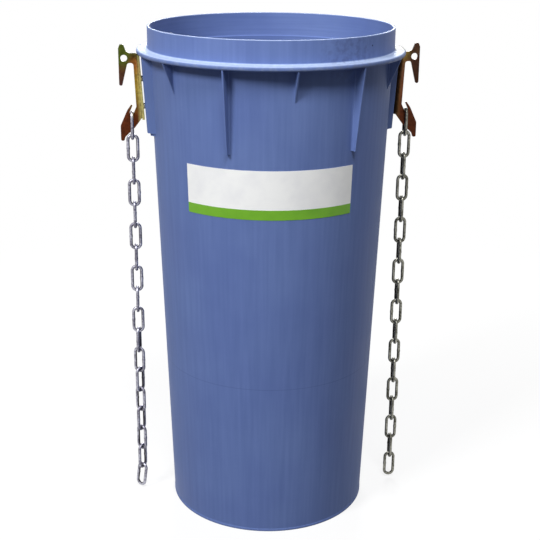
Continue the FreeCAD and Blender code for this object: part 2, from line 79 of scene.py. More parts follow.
# Tube
# One hollow moulding in blue polyethylene: a tapered wall, a collar that takes the foot of the
# element above, a flange with upright gussets under it, and two pads that the hooks are bolted to.
tube_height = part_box("chute_tube")[1].z
flange_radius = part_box("chute_tube")[1].y
flange_bottom, flange_top = 1042.4 * MM, 1052.5 * MM
flange_rounding = 4.2 * MM
collar_radius, collar_bore = 264.4 * MM, 259.4 * MM
collar_foot_rounding = 4.0 * MM
rim_rounding = 1.9 * MM
ledge_height, ledge_fall, ledge_rounding = 1046.0 * MM, 1.5 * MM, 0.7 * MM
wall_top_radius, wall_foot_radius = 261.1 * MM, 224.2 * MM
wall_thickness = 5.0 * MM
lip_radius, lip_height, lip_rounding, lip_step = 225.0 * MM, 6.0 * MM, 1.2 * MM, 0.8 * MM
under_flange_rounding = 3.0 * MM
around = 288
rings_up_wall = 44

gusset_half = 2.0 * MM
gusset_nose = 1.2 * MM
gusset_reach = 286.5 * MM
gusset_root_flare = 3.5 * MM
gusset_root_depth, gusset_root_dip = 2.5 * MM, 0.1 * MM
least_flare, least_nose = 0.1 * MM, 0.05 * MM
gusset_turn, gusset_pitch, short_gusset_turn = 4.6, 60.0, 30.0
long_gusset_turns = (0, 60, 180, 240)
short_gusset_foot, long_gusset_foot = 978.0 * MM, 871.0 * MM
short_gusset_dip, long_gusset_step = 0.3 * MM, 10.6 * MM
flange_overlap = 3.0 * MM

pad_foot, pad_foot_reach, pad_head_reach = 876.0 * MM, 268.8 * MM, 278.7 * MM
pad_root = 238.0 * MM
pad_tab_side, pad_plain_side = 33.0 * MM, 15.0 * MM
pad_tab_root, pad_plain_root = 57.0 * MM, 38.0 * MM
pad_shelf_foot, pad_shelf_reach = 870.5 * MM, 262.2 * MM
pad_floor = 8.0 * MM
pad_easing, shelf_easing, shelf_overlap = 2.2 * MM, 1.0 * MM, 4.0 * MM
proud_reach, core_spare = 250.0 * MM, 10.0 * MM
recess_radius, screw_hole_radius = 15.5 * MM, 4.5 * MM
screw_upper, screw_spacing, screw_offset = 991.0 * MM, 58.5 * MM, 18.5 * MM
hole_inner_end, hole_outer_end, recess_inner_end = -20.0 * MM, 6.0 * MM, -38.0 * MM
nick_outset = 0.55


def wall_radius(height):
    """Outer radius of the tapered wall at a height."""
    return wall_foot_radius + (wall_top_radius - wall_foot_radius) * height / flange_bottom


def pad_face(height):
    """Distance from the axis to a bolting pad's face at a height."""
    rise = (height - pad_foot) / (flange_bottom - pad_foot)
    return pad_foot_reach + (pad_head_reach - pad_foot_reach) * rise


def wire_loop(bm, places):
    """A closed loop of edges through the places."""
    corners = [bm.verts.new(place) for place in places]
    edges = [bm.edges.new(pair) for pair in zip(corners, corners[1:] + corners[:1])]
    return corners, edges


def round_corners(bm, corners, rounding, segments):
    """Turns right-angled corners of a wire loop into arcs."""
    bmesh.ops.bevel(
        bm,
        geom=corners,
        offset=rounding,
        affect="VERTICES",
        segments=segments,
        profile=0.5,
        material=-1,
    )


def turned_shell():
    """The tube without gussets and pads: one wire profile, spun right round."""
    bm = bmesh.new()
    lip_end = lip_height + lip_step
    corners, _ = wire_loop(
        bm,
        [
            (wall_radius(0) - wall_thickness, 0, 0),
            (lip_radius, 0, 0),
            (lip_radius, 0, lip_height),
            (wall_radius(lip_end), 0, lip_end),
            (wall_top_radius, 0, flange_bottom),
            (flange_radius, 0, flange_bottom),
            (flange_radius, 0, flange_top),
            (collar_radius, 0, flange_top),
            (collar_radius, 0, tube_height),
            (collar_bore, 0, tube_height),
            (collar_bore, 0, ledge_height + ledge_fall),
            (wall_top_radius - wall_thickness, 0, ledge_height),
        ],
    )
    lip_low, wall_top, flange_low, flange_high = corners[1], corners[4], corners[5], corners[6]
    collar_foot, rim_out, rim_in, ledge_out = corners[7:11]
    round_corners(bm, [lip_low], lip_rounding, 4)
    round_corners(bm, [wall_top], under_flange_rounding, 4)
    round_corners(bm, [flange_low, flange_high], flange_rounding, 6)
    round_corners(bm, [collar_foot], collar_foot_rounding, 5)
    round_corners(bm, [rim_out, rim_in], rim_rounding, 5)
    round_corners(bm, [ledge_out], ledge_rounding, 2)
    tall = [edge for edge in bm.edges if edge.calc_length() > 0.5 * tube_height]
    bmesh.ops.subdivide_edges(bm, edges=tall, cuts=rings_up_wall)
    bmesh.ops.spin(
        bm,
        geom=bm.verts[:] + bm.edges[:],
        cent=(0, 0, 0),
        axis=(0, 0, 1),
        angle=math.tau,
        steps=around,
        use_merge=True,
    )
    bmesh.ops.remove_doubles(bm, verts=bm.verts[:], dist=0.01 * MM)
    bmesh.ops.recalc_face_normals(bm, faces=bm.faces[:])
    return bm


def lofted(bm, sections):
    """Skins a row of closed wire sections with like corners and closes both ends."""
    loops = [wire_loop(bm, section)[1] for section in sections]
    for low, high in zip(loops, loops[1:]):
        bmesh.ops.bridge_loops(bm, edges=low + high)
    for loop in (loops[0], loops[-1]):
        bmesh.ops.edgenet_fill(bm, edges=loop)


def gusset_section(height, reach):
    """Plan of a gusset at a height: flared where it leaves the wall, rounded at its free edge."""
    surface = wall_radius(height)
    depth = max(reach - surface, 0.0)
    flare = min(gusset_root_flare, 0.6 * depth + least_flare)
    nose = min(gusset_nose, 0.3 * depth + least_nose)
    side = [
        (surface - gusset_root_depth, gusset_half + flare),
        (surface - gusset_root_dip, gusset_half + flare),
    ]
    for step in range(1, 5):
        turn = math.radians(90.0 * step / 4)
        side.append(
            (
                surface - gusset_root_dip + flare * (1 - math.cos(turn)),
                gusset_half + flare * (1 - math.sin(turn)),
            )
        )
    end = max(reach, surface + flare + nose)
    for step in range(0, 4):
        turn = math.radians(90.0 * step / 3)
        side.append((end - nose * (1 - math.sin(turn)), gusset_half - nose * (1 - math.cos(turn))))
    return [(x, y, height) for x, y in side] + [(x, -y, height) for x, y in reversed(side)]


def add_gusset(bm, turn, foot, foot_reach):
    """One upright gusset, turned from the hooks' plane."""
    levels = 12
    head = flange_bottom + flange_overlap
    sections = []
    for level in range(levels + 1):
        height = foot + (head - foot) * level / levels
        reach = foot_reach + (gusset_reach - foot_reach) * min(
            1.0, (height - foot) / (flange_bottom - foot)
        )
        spin = Matrix.Rotation(turn, 4, "Z")
        sections.append([spin @ Vector(place) for place in gusset_section(height, reach)])
    lofted(bm, sections)


def pad_section(height, reach):
    """Plan of a bolting pad, wider on the side that takes the hook's tab."""
    return [
        (pad_root, -pad_plain_root, height),
        (reach, -pad_plain_side, height),
        (reach, pad_tab_side, height),
        (pad_root, pad_tab_root, height),
    ]


def as_object(name, bm):
    """An object at the origin that holds the mesh, in place."""
    mesh = bpy.data.meshes.new(name)
    bm.to_mesh(mesh)
    bm.free()
    thing = bpy.data.objects.new(name, mesh)
    bpy.context.scene.collection.objects.link(thing)
    return thing


def apply_modifiers(thing):
    """Bakes an object's modifiers into its mesh."""
    graph = bpy.context.evaluated_depsgraph_get()
    baked = bpy.data.meshes.new_from_object(thing.evaluated_get(graph))
    thing.modifiers.clear()
    thing.data = baked


def combine(thing, other, operation):
    """Joins or cuts a mesh with another and removes the other."""
    step = thing.modifiers.new(operation.lower(), "BOOLEAN")
    step.operation = operation
    step.solver = "EXACT"
    step.object = other
    apply_modifiers(thing)
    bpy.data.objects.remove(other)


def eased_block(sections, easing, wanted):
    """A lofted block with the picked edges rounded."""
    bm = bmesh.new()
    lofted(bm, sections)
    bmesh.ops.bevel(
        bm,
        geom=[edge for edge in bm.edges if wanted(edge)],
        offset=easing,
        affect="EDGES",
        segments=4,
        profile=0.5,
        material=-1,
    )
    bmesh.ops.recalc_face_normals(bm, faces=bm.faces[:])
    return bm


def stands_proud(edge):
    """True for an edge that lies outside the wall."""
    return min(corner.co.x for corner in edge.verts) > proud_reach


def bolting_pad():
    """One bolting pad with the low shelf under its tab side, as one block."""
    head = flange_bottom + flange_overlap
    sections = [pad_section(pad_foot, pad_face(pad_foot)), pad_section(head, pad_face(head))]
    pad = as_object("pad", eased_block(sections, pad_easing, stands_proud))
    plan = [
        (pad_root, 0),
        (pad_shelf_reach, 0),
        (pad_shelf_reach, pad_tab_side),
        (pad_root, pad_tab_root),
    ]
    levels = (pad_shelf_foot, pad_foot + shelf_overlap)
    sections = [[(x, y, level) for x, y in plan] for level in levels]
    shelf = eased_block(sections, shelf_easing, stands_proud)
    combine(pad, as_object("shelf", shelf), "UNION")
    # the block's root ends in the middle of the wall
    core = bmesh.new()
    low, high = pad_shelf_foot - core_spare, head + core_spare
    bmesh.ops.create_cone(
        core,
        cap_ends=True,
        segments=around,
        radius1=wall_radius(low) - wall_thickness / 2,
        radius2=wall_radius(high) - wall_thickness / 2,
        depth=high - low,
        matrix=Matrix.Translation((0, 0, (low + high) / 2)),
    )
    combine(pad, as_object("core", core), "DIFFERENCE")
    return pad


def screw_frame(step, side):
    """Placement of a hook's screw: Z along its axis outwards from the pad's face."""
    lean = math.atan2(pad_head_reach - pad_foot_reach, flange_bottom - pad_foot)
    out = Vector((math.cos(lean), 0, -math.sin(lean)))
    down = Vector((-math.sin(lean), 0, -math.cos(lean)))
    turn = Matrix((down, out.cross(down), out)).transposed().to_4x4()
    first = Vector((pad_face(screw_upper), screw_offset, screw_upper))
    place = first + down * (step * screw_spacing)
    return Matrix.Rotation(side, 4, "Z") @ Matrix.Translation(place) @ turn


def add_screw_voids(bm):
    """The screw holes through the pads and the round recesses for the nuts."""
    for side in (0.0, math.pi):
        for step in (0, 1):
            for radius, low, high in (
                (screw_hole_radius, hole_inner_end, hole_outer_end),
                (recess_radius, recess_inner_end, -pad_floor),
            ):
                bmesh.ops.create_cone(
                    bm,
                    cap_ends=True,
                    segments=40,
                    radius1=radius,
                    radius2=radius,
                    depth=high - low,
                    matrix=screw_frame(step, side) @ Matrix.Translation((0, 0, (low + high) / 2)),
                )


def add_nick(bm, turn, radius, height, size):
    """A small four-sided cutter whose point bites into an edge of the tube."""
    lean = Matrix.Rotation(math.radians(-45), 4, "Y")
    outset = nick_outset * size
    outside = Matrix.Translation((radius + outset, 0, height + outset))
    bmesh.ops.create_cone(
        bm,
        cap_ends=True,
        segments=4,
        radius1=0.1 * size,
        radius2=size,
        depth=2 * size,
        matrix=Matrix.Rotation(turn, 4, "Z") @ outside @ lean.inverted(),
    )


def smooth_below(thing, degrees):
    """Smooth shading, with edges sharper than the angle left crisp."""
    thing.data.shade_smooth()
    thing.data.set_sharp_from_angle(angle=math.radians(degrees))


tube = as_object("tube_moulding", turned_shell())
raised = bmesh.new()
first_turn = gusset_turn - 2 * gusset_pitch
for index in range(6):
    add_gusset(
        raised,
        math.radians(first_turn + short_gusset_turn + gusset_pitch * index),
        short_gusset_foot,
        wall_radius(short_gusset_foot) - short_gusset_dip,
    )
for long_turn in long_gusset_turns:
    add_gusset(
        raised,
        math.radians(first_turn + long_turn),
        long_gusset_foot,
        wall_radius(long_gusset_foot) + long_gusset_step,
    )
bmesh.ops.recalc_face_normals(raised, faces=raised.faces[:])
combine(tube, as_object("gussets", raised), "UNION")
for side in (0.0, math.pi):
    pad = bolting_pad()
    pad.data.transform(Matrix.Rotation(side, 4, "Z"))
    combine(tube, pad, "UNION")
voids = bmesh.new()
add_screw_voids(voids)
combine(tube, as_object("screw_voids", voids), "DIFFERENCE")
nicks = bmesh.new()
for turn, radius, height, size in (
    (-146.0, collar_radius, tube_height, 3.4 * MM),
    (-99.0, flange_radius, flange_bottom + 3.0 * MM, 2.4 * MM),
):
    add_nick(nicks, math.radians(turn), radius, height, size)
combine(tube, as_object("nicks", nicks), "DIFFERENCE")
smooth_below(tube, 35)


def linear(hex_colour):
    """An sRGB hex colour as the linear colour that shaders take."""
    channels = [int(hex_colour[i : i + 2], 16) / 255 for i in (1, 3, 5)]
    return tuple(c / 12.92 if c <= 0.04045 else ((c + 0.055) / 1.055) ** 2.4 for c in channels) + (
        1.0,
    )


def add(tree, kind, inputs=None, stops=None, **settings):
    """Adds a shader node; inputs are values or other nodes' sockets, stops fill a colour ramp."""
    node = tree.nodes.new("ShaderNode" + kind)
    for name, value in settings.items():
        setattr(node, name, value)
    for socket, value in (inputs or {}).items():
        if isinstance(value, bpy.types.NodeSocket):
            tree.links.new(value, node.inputs[socket])
        else:
            node.inputs[socket].default_value = value
    for index, (position, hex_colour) in enumerate(stops or ()):
        elements = node.color_ramp.elements
        stop = elements[index] if index < 2 else elements.new(position)
        stop.position = position
        stop.color = linear(hex_colour)
    return node


def new_material(name):
    """A material with an empty node tree and its output."""
    material = bpy.data.materials.new(name)
    material.use_nodes = True
    material.node_tree.nodes.clear()
    return material, material.node_tree, material.node_tree.nodes.new("ShaderNodeOutputMaterial")


parting_height = 354.6 * MM
grey_patch_place = (270.6 * MM, -16.0 * MM, flange_top)
smudge_place = (131.4 * MM, -229.5 * MM, 1075.0 * MM)
speck_place = (182.4 * MM, -191.4 * MM, 1079.8 * MM)


# Polyethylene, satin from the mould and blue right through. The eye sees faint upright draw
# streaks, dust and rubbing that pale the flange's upper side and the rim, with a painted highlight
# there for the light from above, and a few marks.
def moulded_polyethylene():
    material, tree, output = new_material("moulded_polyethylene")
    coords = add(tree, "TexCoord").outputs["Object"]
    x, y, z = add(tree, "SeparateXYZ", {0: coords}).outputs
    plan = add(tree, "CombineXYZ", {0: x, 1: y}).outputs[0]
    radius = add(tree, "VectorMath", {0: plan}, operation="LENGTH").outputs["Value"]

    # draw streaks 9 mm wide and some 300 mm long, clouds 140 mm across and specks of 9 mm
    drawn = add(tree, "Mapping", {0: coords, 3: (1.0, 1.0, 0.03)}).outputs[0]
    streaks = add(tree, "TexNoise", {"Vector": drawn, "Scale": 1 / (9 * MM), "Detail": 4.0})
    clouds = add(tree, "TexNoise", {"Vector": coords, "Scale": 1 / (140 * MM), "Detail": 4.0})
    specks = add(tree, "TexNoise", {"Vector": coords, "Scale": 1 / (9 * MM), "Detail": 6.0})

    # rings 6 mm apart take the streaks' place in the bore of the collar
    turned = add(tree, "Mapping", {0: coords, 3: (0.03, 0.03, 1.0)}).outputs[0]
    rings = add(tree, "TexNoise", {"Vector": turned, "Scale": 1 / (6 * MM), "Detail": 3.0})
    high_up = add(
        tree,
        "MapRange",
        {0: z, 1: ledge_height - 60 * MM, 2: ledge_height},
        interpolation_type="SMOOTHSTEP",
    ).outputs[0]
    inside = add(
        tree,
        "MapRange",
        {0: radius, 1: collar_bore + 0.8 * MM, 2: collar_bore + 0.2 * MM},
        interpolation_type="SMOOTHSTEP",
    ).outputs[0]
    in_bore = add(tree, "Math", {0: high_up, 1: inside}, operation="MULTIPLY").outputs[0]
    lines = add(
        tree, "Mix", {0: in_bore, 2: streaks.outputs["Fac"], 3: rings.outputs["Fac"]}
    ).outputs[0]
    tone = add(tree, "ValToRGB", {0: lines}, stops=[(0.30, "#6075AB"), (0.70, "#677CB3")])
    shade = add(
        tree, "ValToRGB", {0: clouds.outputs["Fac"]}, stops=[(0.35, "#EEEFF6"), (0.65, "#FFFFFF")]
    )
    colour = add(
        tree,
        "Mix",
        {0: 1.0, 6: tone.outputs[0], 7: shade.outputs[0]},
        data_type="RGBA",
        blend_type="MULTIPLY",
    ).outputs[2]

    # what lies over the blue: its strength, its colour, and the stretches where it comes in, each
    # a value with its limits and, where it isn't 0 to 1, the share at each limit
    patches = specks.outputs["Fac"]
    from_line = add(tree, "Math", {0: z, 1: parting_height}, operation="SUBTRACT").outputs[0]
    from_line = add(tree, "Math", {0: from_line}, operation="ABSOLUTE").outputs[0]
    from_grey_patch, from_smudge, from_speck = [
        add(tree, "VectorMath", {0: coords, 1: place}, operation="DISTANCE").outputs["Value"]
        for place in (grey_patch_place, smudge_place, speck_place)
    ]
    flange_upper_side = [
        (z, flange_top - 2.2 * MM, flange_top - 0.4 * MM),
        (z, flange_top + 3.0 * MM, flange_top + 0.8 * MM),
        (radius, collar_bore, collar_radius),
    ]
    flange_edge = (radius, flange_radius - 1.2 * MM, flange_radius - 0.4 * MM)
    parting_line = (0.22, "#33406F", [(from_line, 1.4 * MM, 0.3 * MM)])
    # partly real dust and partly a painted highlight: the flange's upper side is paled where the
    # light from above falls
    patchy_dust_and_top_light = (1.0, "#B9CAE6", flange_upper_side + [(patches, 0.3, 0.7, 0.66, 0.86)])
    rubbed_edge = (1.0, "#8592AC", [flange_edge, (patches, 0.45, 0.62, 0.1, 0.45)])
    # partly rubbing and partly a painted highlight: the rim's top is paled where the light from
    # above catches it
    rim_wear_and_highlight = (0.5, "#B9CAE6", [(z, tube_height - 1.6 * MM, tube_height - 0.5 * MM)])
    # a brownish grey patch over the flange's upper side towards its right end
    grey_right_end_patch = (0.9, "#6A6759", flange_upper_side + [(from_grey_patch, 80 * MM, 24 * MM)])
    smudges = (0.5, "#4A5580", [(from_smudge, 95 * MM, 20 * MM), (patches, 0.4, 0.7)])
    dark_speck = (1.0, "#1E2445", [(from_speck, 2.2 * MM, 1.3 * MM)])
    for share, hex_colour, stretches in (
        parting_line,
        patchy_dust_and_top_light,
        rubbed_edge,
        rim_wear_and_highlight,
        grey_right_end_patch,
        smudges,
        dark_speck,
    ):
        for stretch in stretches:
            limits = dict(enumerate(stretch))
            here = add(tree, "MapRange", limits, interpolation_type="SMOOTHSTEP").outputs[0]
            share = add(tree, "Math", {0: share, 1: here}, operation="MULTIPLY").outputs[0]
        colour = add(
            tree, "Mix", {0: share, 6: colour, 7: linear(hex_colour)}, data_type="RGBA"
        ).outputs[2]

    rough = add(
        tree,
        "MapRange",
        {0: clouds.outputs["Fac"], 1: 0.3, 2: 0.7, 3: 0.50, 4: 0.60},
        interpolation_type="SMOOTHSTEP",
    ).outputs[0]
    # moulded grain of 1.2 mm
    grain = add(tree, "TexNoise", {"Vector": coords, "Scale": 1 / (1.2 * MM), "Detail": 2.0})
    fine = add(
        tree, "Bump", {"Strength": 0.1, "Distance": 0.4 * MM, "Height": grain.outputs["Fac"]}
    )
    wavy = add(
        tree,
        "Bump",
        {
            "Strength": 0.06,
            "Distance": 2 * MM,
            "Height": streaks.outputs["Fac"],
            "Normal": fine.outputs[0],
        },
    )
    shader = add(
        tree,
        "BsdfPrincipled",
        {
            "Base Color": colour,
            "Roughness": rough,
            "Normal": wavy.outputs[0],
            "IOR": 1.51,
            "Specular IOR Level": 0.25,
        },
    )
    tree.links.new(shader.outputs[0], output.inputs[0])
    return material


tube.data.materials.clear()
tube.data.materials.append(moulded_polyethylene())
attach(tube, "chute")
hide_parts("chute_tube")


# Label
# A thin self-adhesive vinyl film stuck round the front of the wall, white with a green band along
# its lower edge. It was laid on by hand, so it follows the taper with faint ripples.
label_foot, label_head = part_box("label")[0].z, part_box("label")[1].z
label_gap, label_film = 0.05 * MM, 0.4 * MM
label_sweep, label_turn = math.radians(83.6), math.radians(-6.4)
band_top = 759.0 * MM

sheet_mesh = bmesh.new()
wire_loop(
    sheet_mesh,
    [
        (0, -wall_radius(label_foot) - label_gap, label_foot),
        (0, -wall_radius(label_foot) - label_gap - label_film, label_foot),
        (0, -wall_radius(label_head) - label_gap - label_film, label_head),
        (0, -wall_radius(label_head) - label_gap, label_head),
    ],
)
bmesh.ops.rotate(
    sheet_mesh,
    verts=sheet_mesh.verts[:],
    cent=(0, 0, 0),
    matrix=Matrix.Rotation(label_turn - label_sweep / 2, 3, "Z"),
)
bmesh.ops.spin(
    sheet_mesh,
    geom=sheet_mesh.verts[:] + sheet_mesh.edges[:],
    cent=(0, 0, 0),
    axis=(0, 0, 1),
    angle=label_sweep,
    steps=72,
)
bmesh.ops.holes_fill(sheet_mesh, edges=sheet_mesh.edges[:], sides=4)
bmesh.ops.recalc_face_normals(sheet_mesh, faces=sheet_mesh.faces[:])
label = as_object("label_sheet", sheet_mesh)
smooth_below(label, 35)


# Vinyl film, printed in flat colour and laminated. The eye sees a smooth satin sheet with faint
# grime over the white and the green, and slight ripples where it was laid on the curved wall.
def vinyl_film():
    material, tree, output = new_material("vinyl_film")
    coords = add(tree, "TexCoord").outputs["Object"]
    height = add(tree, "SeparateXYZ", {0: coords}).outputs[2]
    band = add(tree, "Math", {0: height, 1: band_top}, operation="LESS_THAN")
    grime_and_shade = add(tree, "TexNoise", {"Vector": coords, "Scale": 1 / (45.5 * MM), "Detail": 5.0})
    white = add(
        tree, "ValToRGB", {0: grime_and_shade.outputs["Fac"]}, stops=[(0.35, "#F1F2F4"), (0.6, "#F9FAFA")]
    )
    green = add(
        tree, "ValToRGB", {0: grime_and_shade.outputs["Fac"]}, stops=[(0.35, "#62A016"), (0.6, "#6EAC1F")]
    )
    print_colour = add(
        tree,
        "Mix",
        {0: band.outputs[0], 6: white.outputs[0], 7: green.outputs[0]},
        data_type="RGBA",
    )
    ripple = add(tree, "TexNoise", {"Vector": coords, "Scale": 1 / (22.2 * MM), "Detail": 2.0})
    bump = add(
        tree, "Bump", {"Strength": 0.15, "Distance": 1 * MM, "Height": ripple.outputs["Fac"]}
    )
    shader = add(
        tree,
        "BsdfPrincipled",
        {"Base Color": print_colour.outputs[2], "Roughness": 0.38, "Normal": bump.outputs[0]},
    )
    tree.links.new(shader.outputs[0], output.inputs[0])
    return material


label.data.materials.append(vinyl_film())
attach(label, "chute")
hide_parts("label")


# Hooks
# Two 5 mm steel plates cut to one outline, with a tab bent square at the inner edge that is screwed
# to the tube's pads and stands 3 mm off them. Zinc plated and yellow chromated.
def eased_copy(node, name, easing):
    """A merged copy of a CAD node's mesh with its crisp edges eased by a small bevel."""
    bm = bmesh.new()
    bm.from_mesh(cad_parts[node].data)
    bmesh.ops.remove_doubles(bm, verts=bm.verts[:], dist=0.001 * MM)
    bmesh.ops.dissolve_limit(
        bm, angle_limit=math.radians(0.5), verts=bm.verts[:], edges=bm.edges[:]
    )
    crisp = [
        edge
        for edge in bm.edges
        if len(edge.link_faces) == 2 and edge.calc_face_angle() > math.radians(40)
    ]
    bmesh.ops.bevel(
        bm,
        geom=crisp,
        offset=easing,
        affect="EDGES",
        segments=2,
        profile=0.5,
        material=-1,
        clamp_overlap=True,
    )
    thing = as_object(name, bm)
    smooth_below(thing, 32)
    return thing


# Chromated zinc: a film that is olive, gold, red-brown or purple by its thickness, which runs
# with the height in the bath and differs at the outer edges. The bent tab carries a painted
# highlight on the left hook and painted shade on the right one, and the cut edges painted shade.
# Each change lies between two distances from the tube's axis.
outer_film_start, outer_film_full = 298.0 * MM, 309.0 * MM
tab_painted_light_start, tab_painted_light_full = 289.0 * MM, 279.0 * MM
cut_edge_shade_start, cut_edge_shade_full = 284.0 * MM, 290.0 * MM
cut_edge_shade = "#2A1C12"
hook_foot, hook_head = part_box("hook_right")[0].z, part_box("hook_right")[1].z


def chromated_steel(name, stem_films, outer_films, tab_painted_light):
    material, tree, output = new_material(name)
    coords = add(tree, "TexCoord").outputs["Object"]
    x, _, z = add(tree, "SeparateXYZ", {0: coords}).outputs
    clouds = add(tree, "TexNoise", {"Vector": coords, "Scale": 1 / (34 * MM), "Detail": 4.0})
    mottle = add(tree, "TexNoise", {"Vector": coords, "Scale": 1 / (5 * MM), "Detail": 5.0})
    swing = add(tree, "MapRange", {0: clouds.outputs["Fac"], 3: -0.12, 4: 0.12}).outputs[0]
    rise = add(tree, "MapRange", {0: z, 1: hook_foot, 2: hook_head}).outputs[0]
    level = add(tree, "Math", {0: rise, 1: swing}, operation="ADD").outputs[0]
    stem = add(tree, "ValToRGB", {0: level}, stops=stem_films).outputs[0]
    outer = add(tree, "ValToRGB", {0: level}, stops=outer_films).outputs[0]
    reach = add(tree, "Math", {0: x}, operation="ABSOLUTE").outputs[0]
    outwards = add(
        tree, "MapRange", {0: reach, 1: outer_film_start, 2: outer_film_full}
    ).outputs[0]
    film = add(tree, "Mix", {0: outwards, 6: stem, 7: outer}, data_type="RGBA").outputs[2]
    # painted light on the bent tab: a highlight on the left hook, shade on the right one
    inwards = add(
        tree, "MapRange", {0: reach, 1: tab_painted_light_start, 2: tab_painted_light_full, 4: 0.85}
    ).outputs[0]
    film = add(
        tree, "Mix", {0: inwards, 6: film, 7: linear(tab_painted_light)}, data_type="RGBA"
    ).outputs[2]
    # painted shade: the cut edges of the plate are darkened against its faces
    facing = add(tree, "SeparateXYZ", {0: add(tree, "NewGeometry").outputs["Normal"]}).outputs[1]
    facing = add(tree, "Math", {0: facing}, operation="ABSOLUTE").outputs[0]
    cut = add(tree, "MapRange", {0: facing, 1: 0.8, 2: 0.3, 4: 0.6}).outputs[0]
    plate_only = add(
        tree, "MapRange", {0: reach, 1: cut_edge_shade_start, 2: cut_edge_shade_full}
    ).outputs[0]
    cut = add(tree, "Math", {0: cut, 1: plate_only}, operation="MULTIPLY").outputs[0]
    film = add(tree, "Mix", {0: cut, 6: film, 7: linear(cut_edge_shade)}, data_type="RGBA").outputs[2]
    dull = add(
        tree, "ValToRGB", {0: mottle.outputs["Fac"]}, stops=[(0.35, "#D2D2D2"), (0.6, "#FFFFFF")]
    )
    film = add(
        tree,
        "Mix",
        {0: 1.0, 6: film, 7: dull.outputs[0]},
        data_type="RGBA",
        blend_type="MULTIPLY",
    ).outputs[2]
    rough = add(tree, "MapRange", {0: mottle.outputs["Fac"], 1: 0.3, 2: 0.7, 3: 0.32, 4: 0.5})
    bump = add(
        tree, "Bump", {"Strength": 0.12, "Distance": 0.4 * MM, "Height": mottle.outputs["Fac"]}
    )
    shader = add(
        tree,
        "BsdfPrincipled",
        {
            "Base Color": film,
            "Metallic": 0.9,
            "Roughness": rough.outputs[0],
            "Normal": bump.outputs[0],
        },
    )
    tree.links.new(shader.outputs[0], output.inputs[0])
    return material


left_stem = [
    (0.00, "#6B3010"),
    (0.24, "#5F2E12"),
    (0.36, "#7A5420"),
    (0.50, "#9C8432"),
    (0.66, "#94762C"),
    (0.78, "#8A5524"),
    (0.88, "#4A3A18"),
    (1.00, "#4E5A1E"),
]
left_outer = [
    (0.00, "#5A2A12"),
    (0.30, "#5A2A12"),
    (0.39, "#2A1A10"),
    (0.58, "#51312F"),
    (0.74, "#5A3A22"),
    (0.84, "#55601F"),
    (1.00, "#4E5A1E"),
]
right_stem = [
    (0.00, "#4E2511"),
    (0.28, "#552A16"),
    (0.50, "#6A3E26"),
    (0.68, "#684430"),
    (0.82, "#70502E"),
    (0.92, "#7A6632"),
    (1.00, "#5A4630"),
]
right_outer = [
    (0.00, "#4E2511"),
    (0.30, "#502816"),
    (0.40, "#2C2018"),
    (0.60, "#3E2416"),
    (0.80, "#43291E"),
    (0.90, "#4C3624"),
    (1.00, "#40261C"),
]
for side_name, stem_films, outer_films, tab_painted_light in (
    ("left", left_stem, left_outer, "#D2C880"),
    ("right", right_stem, right_outer, "#7A5A36"),
):
    hook = eased_copy(f"hook_{side_name}", f"hook_plate_{side_name}", 0.45 * MM)
    hook.data.materials.clear()
    hook.data.materials.append(
        chromated_steel(f"chromated_steel_{side_name}", stem_films, outer_films, tab_painted_light)
    )
    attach(hook, "chute")
    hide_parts(f"hook_{side_name}")


# Hook fasteners
# Countersunk screws from outside, flush in the tabs, a spacer ring on each between tab and pad,
# and washers and hexagon nuts in the recesses inside the tube. Zinc plated steel, a little dulled.
# Zinc plated steel, bright from the bath and dulled by handling. The eye sees a plain grey metal
# with stains some 8 mm across, glossier where it is clean.
def plated_steel():
    material, tree, output = new_material("plated_steel")
    coords = add(tree, "TexCoord").outputs["Object"]
    stain = add(tree, "TexNoise", {"Vector": coords, "Scale": 1 / (8 * MM), "Detail": 5.0})
    colour = add(
        tree, "ValToRGB", {0: stain.outputs["Fac"]}, stops=[(0.35, "#8F8C84"), (0.65, "#B6B5B0")]
    )
    rough = add(tree, "MapRange", {0: stain.outputs["Fac"], 1: 0.3, 2: 0.7, 3: 0.28, 4: 0.5})
    bump = add(
        tree, "Bump", {"Strength": 0.1, "Distance": 0.3 * MM, "Height": stain.outputs["Fac"]}
    )
    shader = add(
        tree,
        "BsdfPrincipled",
        {
            "Base Color": colour.outputs[0],
            "Metallic": 1.0,
            "Roughness": rough.outputs[0],
            "Normal": bump.outputs[0],
        },
    )
    tree.links.new(shader.outputs[0], output.inputs[0])
    return material


plated = plated_steel()
for side_name in ("right", "left"):
    for group in ("hook_screws", "tab_spacers", "nut_washers", "hook_nuts"):
        node = f"{group}_{side_name}"
        fastener = eased_copy(node, f"{node}_eased", 0.3 * MM)
        fastener.data.materials.clear()
        fastener.data.materials.append(plated)
        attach(fastener, "chute")
        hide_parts(node)


# Chains
# Long links of 7 mm round wire, bent to shape and butt welded in the middle of one leg, then hot
# galvanised. Each hangs in the crown of the one above, and every second one is turned square.
links_per_chain = 18
wire_radius = 3.5 * MM
link_half_width = 10.5 * MM
link_inner_length, link_gap = 50.1 * MM, 0.1 * MM
chain_reach, slot_height = 301.0 * MM, 915.3 * MM
straight_links, twist_per_link, full_twist = 10, 13.5, 40.0
last_link_lean = 9.0
weld_swell, weld_spread = 0.16, 2.6 * MM
crown_height = link_inner_length / 2 + wire_radius - link_half_width


